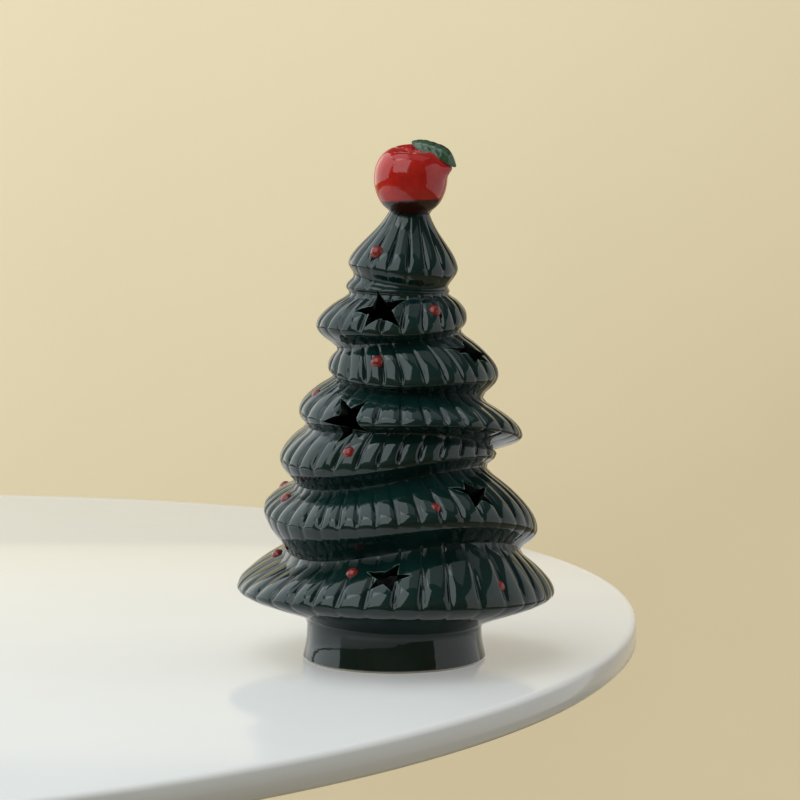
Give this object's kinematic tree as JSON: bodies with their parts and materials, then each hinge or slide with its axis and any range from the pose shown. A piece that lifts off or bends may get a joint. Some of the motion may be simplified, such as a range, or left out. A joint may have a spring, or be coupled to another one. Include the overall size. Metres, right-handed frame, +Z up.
{
  "type": "ceramic christmas tree",
  "caption": "Hollow glazed ceramic christmas tree with fluted skirts, pierced stars, red beads and an apple finial, lit by a battery light unit held in its foot.",
  "frame": {"origin": "on the table, at the middle of the foot", "axes": "+Z up through the tree; the pictured front looks along -Y; +X to the right of the front"},
  "size_m": [0.1248, 0.1248, 0.2019],
  "materials": {
    "green_glaze": "dark blue-green gloss glaze on slip-cast stoneware",
    "apple_glaze": "red gloss glaze",
    "leaf_glaze": "dark green gloss glaze",
    "berry_glaze": "red gloss glaze",
    "unit_plastic": "off-white ABS, fine texture",
    "dome_plastic": "milky translucent plastic",
    "silicone": "soft silicone",
    "board": "glass-fibre circuit board",
    "led_lens": "clear yellowish epoxy",
    "cell_steel": "nickel-plated can",
    "contact_metal": "spring brass strip",
    "screw_steel": "zinc-plated",
    "switch_plastic": "black plastic"
  },
  "bodies": {
    "tree": {"tree_shell": "green_glaze", "apple": "apple_glaze", "apple_leaf": "leaf_glaze", "berry_01": "berry_glaze", "berry_02": "berry_glaze", "berry_03": "berry_glaze", "berry_04": "berry_glaze", "berry_05": "berry_glaze", "berry_06": "berry_glaze", "berry_07": "berry_glaze", "berry_08": "berry_glaze", "berry_09": "berry_glaze", "berry_10": "berry_glaze", "berry_11": "berry_glaze", "berry_12": "berry_glaze", "berry_13": "berry_glaze", "berry_14": "berry_glaze", "berry_15": "berry_glaze", "berry_16": "berry_glaze", "berry_17": "berry_glaze", "berry_18": "berry_glaze", "berry_19": "berry_glaze", "berry_20": "berry_glaze"},
    "light_unit": {"light_housing": "unit_plastic", "base_cover": "unit_plastic", "grip_ring": "silicone", "diffuser_dome": "dome_plastic", "led_board": "board", "led_1": "led_lens", "led_2": "led_lens", "led_3": "led_lens", "led_4": "led_lens", "coin_cell_1": "cell_steel", "coin_cell_2": "cell_steel", "contact_minus": "contact_metal", "contact_plus": "contact_metal", "switch_body": "switch_plastic", "switch_pin_1": "contact_metal", "switch_pin_2": "contact_metal", "cover_screw_1": "screw_steel", "cover_screw_2": "screw_steel", "cover_screw_3": "screw_steel"},
    "battery_door": {"battery_door": "unit_plastic", "door_screw": "screw_steel"},
    "switch_slider": {"switch_slider": "switch_plastic"}
  },
  "joints": [
    {"name": "light_unit_pull", "type": "slide", "parent": "tree", "child": "light_unit", "axis": [0, 0, -1], "range_m": [0, 0.06]},
    {"name": "battery_door_lift", "type": "slide", "parent": "light_unit", "child": "battery_door", "axis": [0, 0, -1], "range_m": [0, 0.03]},
    {"name": "switch_slide", "type": "slide", "parent": "light_unit", "child": "switch_slider", "axis": [0, 1, 0], "range_m": [0, 0.002]}
  ]
}
